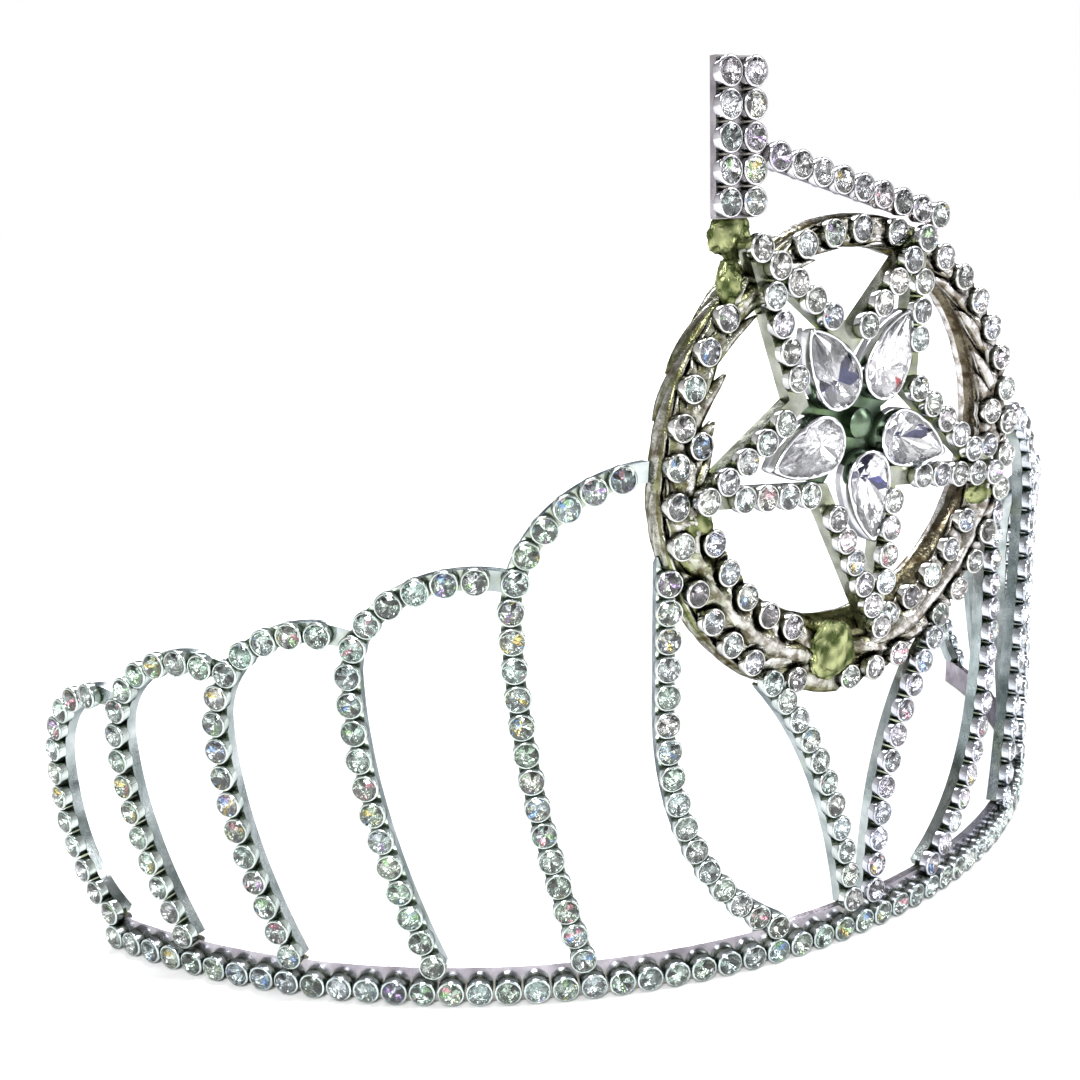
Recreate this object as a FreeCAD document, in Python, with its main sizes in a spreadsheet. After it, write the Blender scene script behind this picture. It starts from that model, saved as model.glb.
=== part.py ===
import FreeCAD
import Part
import math
import os
import Sketcher

# Rhinestone tiara: a C-shaped base band carries stepped scallop strips on a
# round wall, and a wreath ring with a star, a rosette and a gavel in front.
# Origin: front middle of the band's underside. Front is -Y, up is +Z.

Vec = FreeCAD.Vector
os.makedirs("parts", exist_ok=True)
doc = FreeCAD.newDocument("tiara")
sheet = doc.addObject("Spreadsheet::Sheet", "Sizes")

SIZES = (
    # the wall that the band and the strips lie on
    ("wall_radius", 80.0),
    ("wall_centre", 79.55),
    ("band_half_angle", 68.5),
    ("band_height", 4.2),
    ("band_thickness", 0.9),
    ("wire_width", 2.2),
    ("wire_depth", 1.3),
    # round stones in cups
    ("cup_diameter", 3.05),
    ("cup_depth", 1.15),
    ("cup_wall", 0.14),
    ("cup_floor", 0.25),
    ("cup_pitch", 3.09),
    ("cup_gap", 3.06),
    ("wreath_pitch", 4.0),
    ("base_row_height", 1.6),
    ("stone_diameter", 2.7),
    ("stone_table", 1.5),
    ("stone_crown", 0.4),
    ("stone_girdle", 0.1),
    ("stone_pavilion", 0.8),
    # wreath ring
    ("ring_radius", 26.8),
    ("ring_hole_radius", 20.3),
    ("ring_hole_lift", 2.7),
    ("ring_height", 56.5),
    ("ring_setback", 2.45),
    ("ring_depth", 3.5),
    ("ring_pad_radius", 4.4),
    ("ring_pad_across", 8.0),
    ("ring_pad_up", 22.5),
    # star and rosette
    ("star_across", -1.0),
    ("star_height", 61.2),
    ("star_tip_radius", 23.0),
    ("star_waist_radius", 8.8),
    ("star_depth", 1.6),
    ("rosette_height", 60.8),
    ("rosette_radius", 6.3),
    ("pear_radius", 2.95),
    ("pear_tip", 7.1),
    ("pear_rim", 0.28),
    ("pear_depth", 2.0),
    ("backing_radius", 4.6),
    ("backing_thickness", 0.7),
    # gavel
    ("head_width", 5.2),
    ("head_height", 15.4),
    ("head_left", 19.2),
    ("column_spacing", 3.2),
    ("head_bottom", 83.2),
    ("plate_thickness", 0.9),
    ("handle_length", 27.2),
    ("handle_slope", 15.5),
    ("handle_start", 88.72),
    ("handle_root", 14.7),
    ("handle_first", 2.8),
    # small parts of the rosette
    ("boss_radius", 1.7),
    ("boss_height", 1.5),
    ("boss_dome", 2.4),
    ("arm_width", 1.8),
    ("arm_overlap", 0.6),
)

for row, (alias, value) in enumerate(SIZES, start=1):
    sheet.set("A%d" % row, alias)
    sheet.set("B%d" % row, str(value))
    sheet.setAlias("B%d" % row, alias)
doc.recompute()


def size(alias):
    return float(sheet.get(alias))


WALL = size("wall_radius")
CENTRE = Vec(0, size("wall_centre"), 0)
WIRE = size("wire_width")
PITCH = size("cup_pitch")
RING_Y = size("ring_setback")
STAR_Y = RING_Y - size("star_depth")
OUTLINE_STEPS = 10

nodes = []


def keep(feature, label):
    """Name a finished sub-part and mark it for export."""
    feature.Label = label
    nodes.append(feature)
    return feature


def bind(feature, **expressions):
    """Bind properties of a feature to cells of the sheet."""
    for prop, expression in expressions.items():
        feature.setExpression(prop.replace("__", "."), expression)


def solid_feature(label, shape, placement=None):
    """A sub-part whose shape comes from Part functions, then its place."""
    feature = doc.addObject("Part::Feature", label)
    feature.Shape = shape
    if placement is not None:
        feature.Placement = placement
    return keep(feature, label)


# ---------------------------------------------------------------- base band
def make_band():
    """A flat strip bent to the wall's arc: a rectangle turned about Z."""
    body = doc.addObject("PartDesign::Body", "BaseBand")
    plane = next(f for f in body.Origin.OriginFeatures if f.Role == "YZ_Plane")
    sketch = body.newObject("Sketcher::SketchObject", "BandSection")
    sketch.AttachmentSupport = [(plane, "")]
    sketch.MapMode = "FlatFace"
    outer, inner = -WALL, -WALL + size("band_thickness")
    top = size("band_height")
    corners = [Vec(outer, 0, 0), Vec(inner, 0, 0), Vec(inner, top, 0), Vec(outer, top, 0)]
    for i in range(4):
        sketch.addGeometry(Part.LineSegment(corners[i], corners[(i + 1) % 4]))
    for i in range(4):
        sketch.addConstraint(Sketcher.Constraint("Coincident", i, 2, (i + 1) % 4, 1))
    for line in (0, 2):
        sketch.addConstraint(Sketcher.Constraint("Horizontal", line))
    for line in (1, 3):
        sketch.addConstraint(Sketcher.Constraint("Vertical", line))
    named = (
        ("DistanceX", (0, 1, -1, 1), WALL, "wall_radius"),
        ("DistanceX", (0, 1, 0, 2), size("band_thickness"), "band_thickness"),
        ("DistanceY", (1, 1, 1, 2), top, "band_height"),
    )
    for kind, where, value, alias in named:
        index = sketch.addConstraint(Sketcher.Constraint(kind, *where, value))
        sketch.renameConstraint(index, alias)
        sketch.setExpression("Constraints." + alias, "Sizes." + alias)
    sketch.addConstraint(Sketcher.Constraint("PointOnObject", 0, 1, -1))
    turn = body.newObject("PartDesign::Revolution", "BandBend")
    turn.Profile = sketch
    turn.ReferenceAxis = (sketch, ["V_Axis"])
    turn.Midplane = True
    turn.setExpression("Angle", "2 * Sizes.band_half_angle")
    bind(body, Placement__Base__y="Sizes.wall_centre")
    doc.recompute()
    return keep(body, "base_band")


# ------------------------------------------------- curves on the round wall
def wall_point(along, height, radius=WALL):
    """A point at a distance along the wall from the front centre."""
    angle = along / WALL
    return CENTRE + Vec(radius * math.sin(angle), -radius * math.cos(angle), height)


def wall_normal(along):
    angle = along / WALL
    return Vec(math.sin(angle), -math.cos(angle), 0)


def bezier(start, control, end, t):
    """A point on a quadratic curve in (along, height)."""
    return tuple(
        (1 - t) ** 2 * a + 2 * t * (1 - t) * b + t * t * c
        for a, b, c in zip(start, control, end)
    )


class Strip:
    """Centreline of one bent strip: a bowed post, then a scallop arch."""

    def __init__(self, foot, shoulder, spring, crown, apex_share, bow):
        self.foot = (math.radians(foot) * WALL, size("band_height"))
        self.shoulder = (math.radians(shoulder) * WALL, spring)
        self.control = (self.shoulder[0], self.foot[1] + bow * (spring - self.foot[1]))
        self.rise = crown - spring
        self.apex_share = apex_share
        self.landing = None

    def land_at(self, along):
        self.span = self.shoulder[0] - along
        self.half = self.span * self.apex_share
        self.last = math.acos((self.span - self.half) / self.half)

    def point(self, u):
        """u from 0 to 1 climbs the post, from 1 to 2 follows the arch."""
        if u <= 1:
            return bezier(self.foot, self.control, self.shoulder, u)
        turn = math.pi - (u - 1) * (math.pi - self.last)
        return (
            self.shoulder[0] - self.half - self.half * math.cos(turn),
            self.shoulder[1] + self.rise * math.sin(turn),
        )

    def along_at(self, height):
        """Where the climbing side of the strip reaches a height."""
        low, high = 0.0, 1.6
        for _ in range(40):
            middle = (low + high) / 2
            if self.point(middle)[1] < height:
                low = middle
            else:
                high = middle
        return self.point(low)[0]


class Support:
    """Centreline of a curved post or brace: one quadratic curve and a run."""

    def __init__(self, foot, control, shoulder, top):
        self.foot = foot
        self.control = control
        self.shoulder = shoulder
        self.top = top

    def point(self, u):
        if u <= 1:
            return bezier(self.foot, self.control, self.shoulder, u)
        share = u - 1
        return tuple(a + share * (b - a) for a, b in zip(self.shoulder, self.top))


def side_points(path, first, last, offset):
    """Points at a sideways offset from a centreline, from u=first to last."""
    points = []
    for i in range(OUTLINE_STEPS + 1):
        u = first + (last - first) * i / OUTLINE_STEPS
        ahead = path.point(min(u + 1e-4, last))
        behind = path.point(max(u - 1e-4, first))
        run, rise = ahead[0] - behind[0], ahead[1] - behind[1]
        length = math.hypot(run, rise)
        here = path.point(u)
        points.append((here[0] - offset * rise / length, here[1] + offset * run / length))
    return points


def outline_face(path, end, to_plane):
    """The strip's flat outline, as two smooth sides joined at the ends."""
    edges = []
    stretches = [(0, 1), (1, end)] if end > 1 else [(0, end)]
    sides = []
    for offset in (WIRE / 2, -WIRE / 2):
        side = []
        for first, last in stretches:
            points = [to_plane(*p) for p in side_points(path, first, last, offset)]
            if side:
                points[0] = side[-1][-1]
            side.append(points)
        sides.append(side)
        for points in side:
            curve = Part.BSplineCurve()
            curve.interpolate(points)
            edges.append(curve.toShape())
    edges.append(Part.makeLine(sides[0][0][0], sides[1][0][0]))
    edges.append(Part.makeLine(sides[0][-1][-1], sides[1][-1][-1]))
    return Part.Face(Part.Wire(Part.__sortEdges__(edges)))


def wall_shell():
    """The part of the wall that the strips' wire fills, above the band."""
    low, tall = size("band_height"), 80
    foot = CENTRE + Vec(0, 0, low)
    outer = Part.makeCylinder(WALL, tall, foot)
    return outer.cut(Part.makeCylinder(WALL - size("wire_depth"), tall, foot))


def wall_strip(path, end=2.0):
    """A strip's solid: its outline pushed through the wall's shell."""
    middle = path.point(0.9)[0] / WALL
    out = Vec(math.sin(middle), -math.cos(middle), 0)
    across = Vec(math.cos(middle), math.sin(middle), 0)
    back = CENTRE + out * (WALL * 0.8)

    def to_plane(along, height):
        return back + across * (WALL * math.sin(along / WALL - middle)) + Vec(0, 0, height)

    prism = outline_face(path, end, to_plane).extrude(out * (WALL * 0.4))
    return one_solid(prism.common(wall_shell()))


def one_solid(shape):
    """The largest solid of a boolean's result."""
    return max(shape.Solids, key=lambda s: s.Volume)


def mirrored(shape):
    return shape.mirror(Vec(0, 0, 0), Vec(1, 0, 0))


# ----------------------------------------------------------- cups and stones
def master_cup():
    """One open cup, its floor on z=0 and its mouth up."""
    outside = doc.addObject("Part::Cylinder", "CupOutside")
    bind(outside, Radius="Sizes.cup_diameter / 2", Height="Sizes.cup_depth")
    bore = doc.addObject("Part::Cylinder", "CupBore")
    bind(bore, Radius="Sizes.cup_diameter / 2 - Sizes.cup_wall", Height="Sizes.cup_depth")
    bind(bore, Placement__Base__z="Sizes.cup_floor")
    cup = doc.addObject("Part::Cut", "Cup")
    cup.Base = outside
    cup.Tool = bore
    doc.recompute()
    return cup.Shape


def master_stone():
    """One brilliant stone: pavilion, girdle and crown, sitting in its cup."""
    seat = "Sizes.cup_floor + 0.02"
    pavilion = doc.addObject("Part::Cone", "StonePavilion")
    bind(pavilion, Radius1="0.12", Radius2="Sizes.stone_diameter / 2", Height="Sizes.stone_pavilion")
    bind(pavilion, Placement__Base__z=seat)
    girdle = doc.addObject("Part::Cylinder", "StoneGirdle")
    bind(girdle, Radius="Sizes.stone_diameter / 2", Height="Sizes.stone_girdle")
    bind(girdle, Placement__Base__z=seat + " + Sizes.stone_pavilion")
    crown = doc.addObject("Part::Cone", "StoneCrown")
    bind(crown, Radius1="Sizes.stone_diameter / 2", Radius2="Sizes.stone_table / 2")
    bind(crown, Height="Sizes.stone_crown")
    bind(crown, Placement__Base__z=seat + " + Sizes.stone_pavilion + Sizes.stone_girdle")
    stone = doc.addObject("Part::MultiFuse", "Stone")
    stone.Shapes = [pavilion, girdle, crown]
    doc.recompute()
    return stone.Shape


class Setter:
    """Places cups with stones."""

    def __init__(self):
        self.cup = master_cup()
        self.stone = master_stone()
        self.count = 0

    def place(self, spots):
        """Copies of the cup and the stone at each (point, outward) spot."""
        cups, stones = [], []
        for point, outward in spots:
            self.count += 1
            placement = FreeCAD.Placement(point, FreeCAD.Rotation(Vec(0, 0, 1), outward))
            for master, copies in ((self.cup, cups), (self.stone, stones)):
                copy = master.copy()
                copy.Placement = placement
                copies.append(copy)
        return cups, stones


def fine_points(path, end, step=0.05):
    """Points a fraction of a millimetre apart along a centreline."""
    count = 2000
    points = [path.point(end * i / count) for i in range(count + 1)]
    spots = [points[0]]
    carried = 0.0
    for a, b in zip(points, points[1:]):
        carried += math.dist(a, b)
        if carried >= step:
            spots.append(b)
            carried = 0.0
    return spots


def chain(points, to_spot, taken, start=0.7, finish=0.0, pitch=PITCH):
    """The closest row of spots along a centreline, clear of the spots taken."""
    walked = [0.0]
    for a, b in zip(points, points[1:]):
        walked.append(walked[-1] + math.dist(a, b))
    spots = []
    for way, here in zip(walked, points):
        if way < start or way > walked[-1] - finish:
            continue
        point, outward = to_spot(*here)
        if spots and point.distanceToPoint(spots[-1][0]) < pitch:
            continue
        if all(point.distanceToPoint(other) >= size("cup_gap") for other in taken):
            spots.append((point, outward))
            taken.append(point)
    return spots


def wall_spot(along, height):
    return wall_point(along, height), wall_normal(along)


def flip_spot(spot):
    point, outward = spot
    return Vec(-point.x, point.y, point.z), Vec(-outward.x, outward.y, outward.z)


def group(label, shapes):
    return solid_feature(label, Part.makeCompound(shapes))


# ------------------------------------------------------------------- wreath
def make_ring():
    """A flat ring, thick below and thin on top, with a pad for a cluster."""
    upright = FreeCAD.Rotation(Vec(1, 0, 0), 90)
    parts = {}
    for name, radius in (("RingOuter", "ring_radius"), ("RingHole", "ring_hole_radius"),
                         ("RingPad", "ring_pad_radius")):
        disc = doc.addObject("Part::Cylinder", name)
        disc.Placement.Rotation = upright
        bind(disc, Radius="Sizes." + radius, Height="Sizes.ring_depth")
        bind(disc, Placement__Base__y="Sizes.ring_depth + Sizes.ring_setback")
        bind(disc, Placement__Base__z="Sizes.ring_height")
        parts[name] = disc
    bind(parts["RingHole"], Placement__Base__z="Sizes.ring_height + Sizes.ring_hole_lift")
    bind(parts["RingPad"], Placement__Base__x="Sizes.ring_pad_across",
         Placement__Base__z="Sizes.ring_height + Sizes.ring_pad_up")
    cut = doc.addObject("Part::Cut", "RingBlank")
    cut.Base = parts["RingOuter"]
    cut.Tool = parts["RingHole"]
    ring = doc.addObject("Part::Fuse", "Ring")
    ring.Base = cut
    ring.Tool = parts["RingPad"]
    doc.recompute()
    return keep(ring, "wreath_ring")


def front_spot(x, z, y):
    return Vec(x, y, z), Vec(0, -1, 0)


def ring_spot(x, z):
    return front_spot(x, z, RING_Y)


def star_spot(x, z):
    return front_spot(x, z, STAR_Y)


def clear_of_lumps(x, z, lumps):
    """True where a cup on the ring's face misses every solder lump."""
    reach = size("cup_diameter") / 2 - 0.2
    for x0, _, z0, wide, _, tall in lumps:
        if math.hypot((x - x0) / (wide + reach), (z - z0) / (tall + reach)) < 1:
            return False
    return True


def polar(radius, bearing, x=0.0, z=0.0):
    angle = math.radians(bearing)
    return x + radius * math.cos(angle), z + radius * math.sin(angle)


def wreath_row(name, margin):
    """Fine points of a row that runs near the ring's outer or inner edge."""
    outer, hole = size("ring_radius"), size("ring_hole_radius")
    lift, height = size("ring_hole_lift"), size("ring_height")
    points = []
    for k in range(3600):
        bearing = 90.0 + 360.0 * k / 3600
        if name == "outer":
            points.append(polar(outer - margin, bearing, 0.0, height))
        else:
            x, z = polar(hole + margin, bearing, 0.0, height + lift)
            if math.hypot(x, z - height) < outer - margin - 0.6:
                points.append((x, z))
    return points


def wreath_spots(star_lines, lumps, taken):
    """Two staggered rows of stones, clear of the star's bars and the solder."""
    bar = WIRE / 2 + size("cup_diameter") / 2
    margin = size("cup_diameter") / 2 + 0.2
    spots = []
    for name in ("outer", "inner"):
        points = [
            (x, z)
            for x, z in wreath_row(name, margin)
            if min(distance_to_line(x, z, *line) for line in star_lines) > bar
            and clear_of_lumps(x, z, lumps)
        ]
        pitch = size("wreath_pitch")
        spots += chain(points, ring_spot, taken, start=0.0, pitch=pitch)
    return spots


def cluster_spots(star_lines, taken):
    """A tight hexagon of stones on the ring's pad."""
    x0, z0 = size("ring_pad_across"), size("ring_height") + size("ring_pad_up")
    spots = []
    for radius, count in ((0.0, 1), (3.05, 6)):
        for k in range(count):
            x, z = polar(radius, 20 + 60 * k, x0, z0)
            point, outward = ring_spot(x, z)
            on_bar = min(distance_to_line(x, z, *line) for line in star_lines) < 2.55
            if on_bar or any(point.distanceToPoint(other) < 2.9 for other in taken):
                continue
            spots.append((point, outward))
            taken.append(point)
    return spots


def distance_to_line(x, z, start, end):
    """Distance from a point to a straight bar's centreline."""
    run, rise = end[0] - start[0], end[1] - start[1]
    share = ((x - start[0]) * run + (z - start[1]) * rise) / (run * run + rise * rise)
    share = max(0.0, min(1.0, share))
    return math.hypot(x - start[0] - share * run, z - start[1] - share * rise)


# --------------------------------------------------------- star and rosette
STAR_BEARINGS = (64, 127, 195, 279, 339)
STAR_REACH = (0.92, 1.04, 0.96, 1.05, 1.03)
PEAR_BEARINGS = (61, 127, 195, 278, 340)


def star_corners():
    """Tips and waists in turn: the hand-bent star leans a little."""
    x0, z0 = size("star_across"), size("star_height")
    corners = []
    for i, bearing in enumerate(STAR_BEARINGS):
        following = STAR_BEARINGS[(i + 1) % 5]
        following += 360 if following < bearing else 0
        corners.append(polar(size("star_tip_radius") * STAR_REACH[i], bearing, x0, z0))
        corners.append(polar(size("star_waist_radius"), (bearing + following) / 2, x0, z0))
    return corners


def make_star(corners):
    """One strip bent round the star's outline, on the ring's front face."""
    points = [Vec(x, RING_Y, z) for x, z in corners]
    wire = Part.makePolygon(points + points[:1])
    face = Part.Face(wire)
    outside = face.makeOffset2D(WIRE / 2, 0, False, False, False)
    inside = face.makeOffset2D(-WIRE / 2, 2, False, False, False)
    depth = Vec(0, -size("star_depth"), 0)
    frame = outside.extrude(depth).cut(inside.extrude(depth))
    return solid_feature("star_frame", one_solid(frame))


def star_spots(corners, taken):
    """A stone on each tip, then a close row from tip to waist on each bar."""
    spots = []
    for x, z in corners[0::2]:
        spots.append(star_spot(x, z))
        taken.append(spots[-1][0])
    for i in range(10):
        tip, waist = corners[i], corners[(i + 1) % 10]
        if i % 2:
            tip, waist = waist, tip
        count = 400
        points = [
            tuple(a + (b - a) * k / count for a, b in zip(tip, waist)) for k in range(count + 1)
        ]
        spots += chain(points, star_spot, taken, start=0.0, pitch=size("cup_gap"))
    return spots


def pear_outline(radius, tip, y, shrink=1.0):
    """A half round and two long arcs that meet in the tip, about the round's centre."""
    radius, tip = radius * shrink, tip * shrink
    side = (tip * tip + radius * radius) / (2 * radius)
    half = math.asin(tip / side) / 2
    edges = [Part.Arc(Vec(-radius, y, 0), Vec(0, y, -radius), Vec(radius, y, 0)).toShape()]
    for sign in (1, -1):
        middle = Vec(sign * (radius - side + side * math.cos(half)), y, side * math.sin(half))
        edges.append(Part.Arc(Vec(sign * radius, y, 0), middle, Vec(0, y, tip)).toShape())
    return Part.Wire(Part.__sortEdges__(edges))


def pear_setting():
    """A low collet: the pear's outline with a rim, a floor and a bore."""
    radius, tip, rim = size("pear_radius"), size("pear_tip"), size("pear_rim")
    depth = size("pear_depth")
    outer = Part.Face(pear_outline(radius + rim, tip + rim * 2.2, 0)).extrude(Vec(0, -depth, 0))
    bore = Part.Face(pear_outline(radius + 0.02, tip + 0.04, -0.4)).extrude(Vec(0, -depth, 0))
    return outer.cut(bore)


def pear_stone():
    """A pear-cut stone: pavilion, girdle, crown and table."""
    radius, tip, depth = size("pear_radius"), size("pear_tip"), size("pear_depth")
    levels = ((0.12, -0.45), (1.0, -depth + 0.2), (1.0, -depth), (0.56, -depth - 1.0))
    wires = [pear_outline(radius, tip, y, shrink) for shrink, y in levels]
    parts = [Part.makeLoft([a, b], True, True) for a, b in zip(wires, wires[1:])]
    return parts[0].fuse(parts[1:]).removeSplitter()


def rosette_place(bearing):
    x, z = polar(size("rosette_radius"), bearing, 0.0, size("rosette_height"))
    turn = FreeCAD.Rotation(Vec(0, 1, 0), 90 - bearing)
    return FreeCAD.Placement(Vec(x, RING_Y, z), turn)


def make_rosette(star):
    """Five pears with their round ends together, on a backing with arms."""
    setting, stone = pear_setting(), pear_stone()
    for number, bearing in enumerate(PEAR_BEARINGS, start=1):
        seated = setting.copy()
        seated.Placement = rosette_place(bearing)
        solid_feature("pear_setting_%d" % number, one_solid(seated.cut(star)))
        solid_feature("pear_stone_%d" % number, stone, rosette_place(bearing))
    thickness = size("backing_thickness")
    centre = Vec(0, RING_Y, size("rosette_height"))
    plate = Part.makeCylinder(size("backing_radius"), thickness, centre, Vec(0, 1, 0))
    corners = star_corners()
    for x, z in corners[1::2]:
        run = Vec(x - centre.x, 0, z - centre.z)
        wide = size("arm_width")
        arm = Part.makeBox(run.Length + size("arm_overlap"), thickness, wide, Vec(0, 0, -wide / 2))
        bearing = math.degrees(math.atan2(run.z, run.x))
        arm.Placement = FreeCAD.Placement(centre, FreeCAD.Rotation(Vec(0, 1, 0), -bearing))
        plate = plate.fuse(arm)
    solid_feature("star_backing", one_solid(plate.removeSplitter()))
    radius, tall, dome_radius = size("boss_radius"), size("boss_height"), size("boss_dome")
    front = centre + Vec(0, -tall, 0)
    boss = Part.makeCylinder(radius, tall, centre, Vec(0, -1, 0))
    dome = Part.makeSphere(dome_radius, front + Vec(0, radius, 0))
    slab = Part.makeCylinder(radius, dome_radius, front, Vec(0, -1, 0))
    solid_feature("rosette_boss", one_solid(boss.fuse(dome.common(slab)).removeSplitter()))


# -------------------------------------------------------------------- gavel
def make_gavel(ring):
    """A stoned plate for the head and a bar that slopes down to the ring."""
    head = doc.addObject("Part::Box", "GavelHead")
    bind(head, Length="Sizes.head_width", Width="Sizes.plate_thickness")
    bind(head, Height="Sizes.head_height", Placement__Base__x="-Sizes.head_left")
    bind(head, Placement__Base__y="Sizes.ring_setback", Placement__Base__z="Sizes.head_bottom")
    handle = doc.addObject("Part::Box", "GavelHandle")
    handle.Placement.Rotation = FreeCAD.Rotation(Vec(0, 1, 0), size("handle_slope"))
    bind(handle, Length="Sizes.handle_length", Width="Sizes.plate_thickness")
    bind(handle, Height="Sizes.wire_width", Placement__Base__y="Sizes.ring_setback")
    bind(handle, Placement__Base__x="-Sizes.handle_root")
    bind(handle, Placement__Base__z="Sizes.handle_start")
    doc.recompute()
    neighbours = doc.addObject("Part::MultiFuse", "GavelNeighbours")
    neighbours.Shapes = [head, ring]
    trimmed = doc.addObject("Part::Cut", "GavelHandleTrimmed")
    trimmed.Base = handle
    trimmed.Tool = neighbours
    doc.recompute()
    keep(head, "gavel_head_plate")
    keep(trimmed, "gavel_handle_bar")
    return head


def gavel_spots():
    """Two columns of five on the head, one row along the handle."""
    step = (size("head_height") - PITCH) / 4
    spots = []
    middle = size("head_width") / 2 - size("head_left")
    for column in (-0.5, 0.5):
        x = middle + column * size("column_spacing")
        for k in range(5):
            z = size("head_bottom") + PITCH / 2 + k * step
            spots.append(front_spot(x, z, RING_Y))
    slope = math.radians(size("handle_slope"))
    x0 = -size("handle_root")
    z0 = size("handle_start") + WIRE / 2 * math.cos(slope)
    for k in range(9):
        reach = size("handle_first") + k * size("cup_gap")
        x = x0 + reach * math.cos(slope) + WIRE / 2 * math.sin(slope)
        spots.append(front_spot(x, z0 - reach * math.sin(slope), RING_Y))
    return spots


# -------------------------------------------------------------------- build
make_band()
setter = Setter()

half = math.radians(size("band_half_angle")) * WALL - size("cup_diameter") / 2 - 0.2
per_side = int(half / (PITCH * WALL / (WALL + size("cup_depth") / 2)))
base_step = half / per_side
base = [wall_spot(k * base_step, size("base_row_height")) for k in range(-per_side, per_side + 1)]
wall_taken = [point for point, outward in base]
base_cups, base_stones = setter.place(base)
group("base_cups", base_cups)
group("base_stones", base_stones)

ring = make_ring()
ring_solid = one_solid(ring.Shape)

# foot angle, shoulder angle, shoulder height, crown height, apex share, bow
STRIPS = (
    Strip(67.0, 73.1, 21.5, 32.4, 0.74, 0.30),
    Strip(58.7, 64.1, 28.0, 38.4, 0.74, 0.55),
    Strip(48.7, 53.7, 31.5, 42.7, 0.74, 0.55),
    Strip(37.0, 42.3, 37.8, 48.4, 0.74, 0.55),
    Strip(25.3, 30.0, 44.2, 58.6, 1.00, 0.55),
)
RING_LANDING = 26.0
for strip, following in zip(STRIPS, STRIPS[1:] + (None,)):
    strip.land_at(RING_LANDING if following is None else strip.shoulder[0] * 0.9)
for strip, following in zip(STRIPS[:-1], STRIPS[1:]):
    height = strip.shoulder[1] + strip.rise * 0.93
    strip.land_at(following.along_at(height))

ring_post = Support((11.8, size("band_height")), (25.8, 12.5), (25.8, 32.0), (25.4, 49.5))
solids = [wall_strip(strip) for strip in STRIPS]
for i in range(4):
    solids[i] = one_solid(solids[i].cut(solids[i + 1]))
solids[4] = one_solid(solids[4].cut(ring_solid))
post_solid = one_solid(wall_strip(ring_post).cut(ring_solid))

wing_spots = []
for strip in reversed(STRIPS):
    points = fine_points(strip, 2.0)
    wing_spots += chain(points, wall_spot, wall_taken, finish=1.2)
support_spots = chain(fine_points(ring_post, 2.0), wall_spot, wall_taken, finish=0.6)

# the braces stand on the band and lean back to the ring's lower edge
BRACE = Support((1.75, size("band_height")), (3.2, 22.0), (12.4, 33.2), (13.0, 34.0))
LEAN = math.radians(4.0)
brace_front = CENTRE.y - WALL + 0.1


def brace_point(across, height, depth=0.0):
    rise = height - size("band_height")
    y = brace_front + rise * math.sin(LEAN) + depth * math.cos(LEAN)
    return Vec(across, y, size("band_height") + rise * math.cos(LEAN) - depth * math.sin(LEAN))


def brace_spot(across, height):
    return brace_point(across, height), Vec(0, -math.cos(LEAN), math.sin(LEAN))


brace_face = outline_face(BRACE, 2.0, brace_point)
brace_solid = brace_face.extrude(Vec(0, math.cos(LEAN), -math.sin(LEAN)) * size("wire_depth"))
above_band = Part.makeBox(60, 20, 60, Vec(-30, CENTRE.y - WALL - 5, size("band_height")))
brace_solid = one_solid(brace_solid.common(above_band).cut(ring_solid))
support_spots += chain(fine_points(BRACE, 2.0), brace_spot, wall_taken, finish=0.4)

for side, turn in (("left", True), ("right", False)):
    for number, shape in enumerate(solids, start=1):
        solid_feature("%s_scallop_strip_%d" % (side, number), mirrored(shape) if turn else shape)
    solid_feature(side + "_ring_post", mirrored(post_solid) if turn else post_solid)
    solid_feature(side + "_centre_brace", mirrored(brace_solid) if turn else brace_solid)
    for label, spots in (("wing", wing_spots), ("support", support_spots)):
        placed = [flip_spot(s) for s in spots] if turn else spots
        cups, stones = setter.place(placed)
        group("%s_%s_cups" % (side, label), cups)
        group("%s_%s_stones" % (side, label), stones)

corners = star_corners()
star_lines = [(corners[i], corners[(i + 1) % 10]) for i in range(10)]
star = make_star(corners)
cups, stones = setter.place(star_spots(corners, []))
group("star_cups", cups)
group("star_stones", stones)
make_rosette(star.Shape)

head = make_gavel(ring)
gavel = gavel_spots()
ring_taken = [point for point, outward in gavel]
ring_taken += [point for point, outward in support_spots]
ring_taken += [flip_spot(spot)[0] for spot in support_spots]
cups, stones = setter.place(gavel)
group("gavel_cups", cups)
group("gavel_stones", stones)

# solder lumps: x, y, z, half width, half depth, half height
tips = corners[0::2]
lumps = (
    (-3.4, RING_Y, 35.4, 3.6, 2.2, 3.7),
    (-16.6, RING_Y + 1.2, 81.6, 2.8, 1.1, 2.6),
    (tips[1][0] - 2.2, RING_Y, tips[1][1] - 3.2, 1.5, 1.3, 2.4),
    (tips[2][0] + 0.2, RING_Y, tips[2][1] - 2.6, 2.0, 1.2, 1.5),
    (tips[4][0] - 0.4, RING_Y, tips[4][1] - 2.8, 2.2, 1.3, 1.6),
)
ring_spots = cluster_spots(star_lines, ring_taken)
ring_spots += wreath_spots(star_lines, lumps, ring_taken)
cups, stones = setter.place(ring_spots)
group("wreath_cups", cups)
group("wreath_stones", stones)


def make_solder():
    """Lumps of solder that hold the gavel and the star to the ring."""
    shapes = []
    for x, y, z, wide, deep, tall in lumps:
        matrix = FreeCAD.Matrix()
        matrix.scale(wide, deep, tall)
        ball = Part.makeSphere(1.0).transformGeometry(matrix)
        ball.translate(Vec(x, y, z))
        for blocker in (ring_solid, star.Shape, head.Shape):
            ball = ball.cut(blocker)
        shapes.append(one_solid(ball))
    group("solder_joints", shapes)


make_solder()
doc.recompute()

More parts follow.
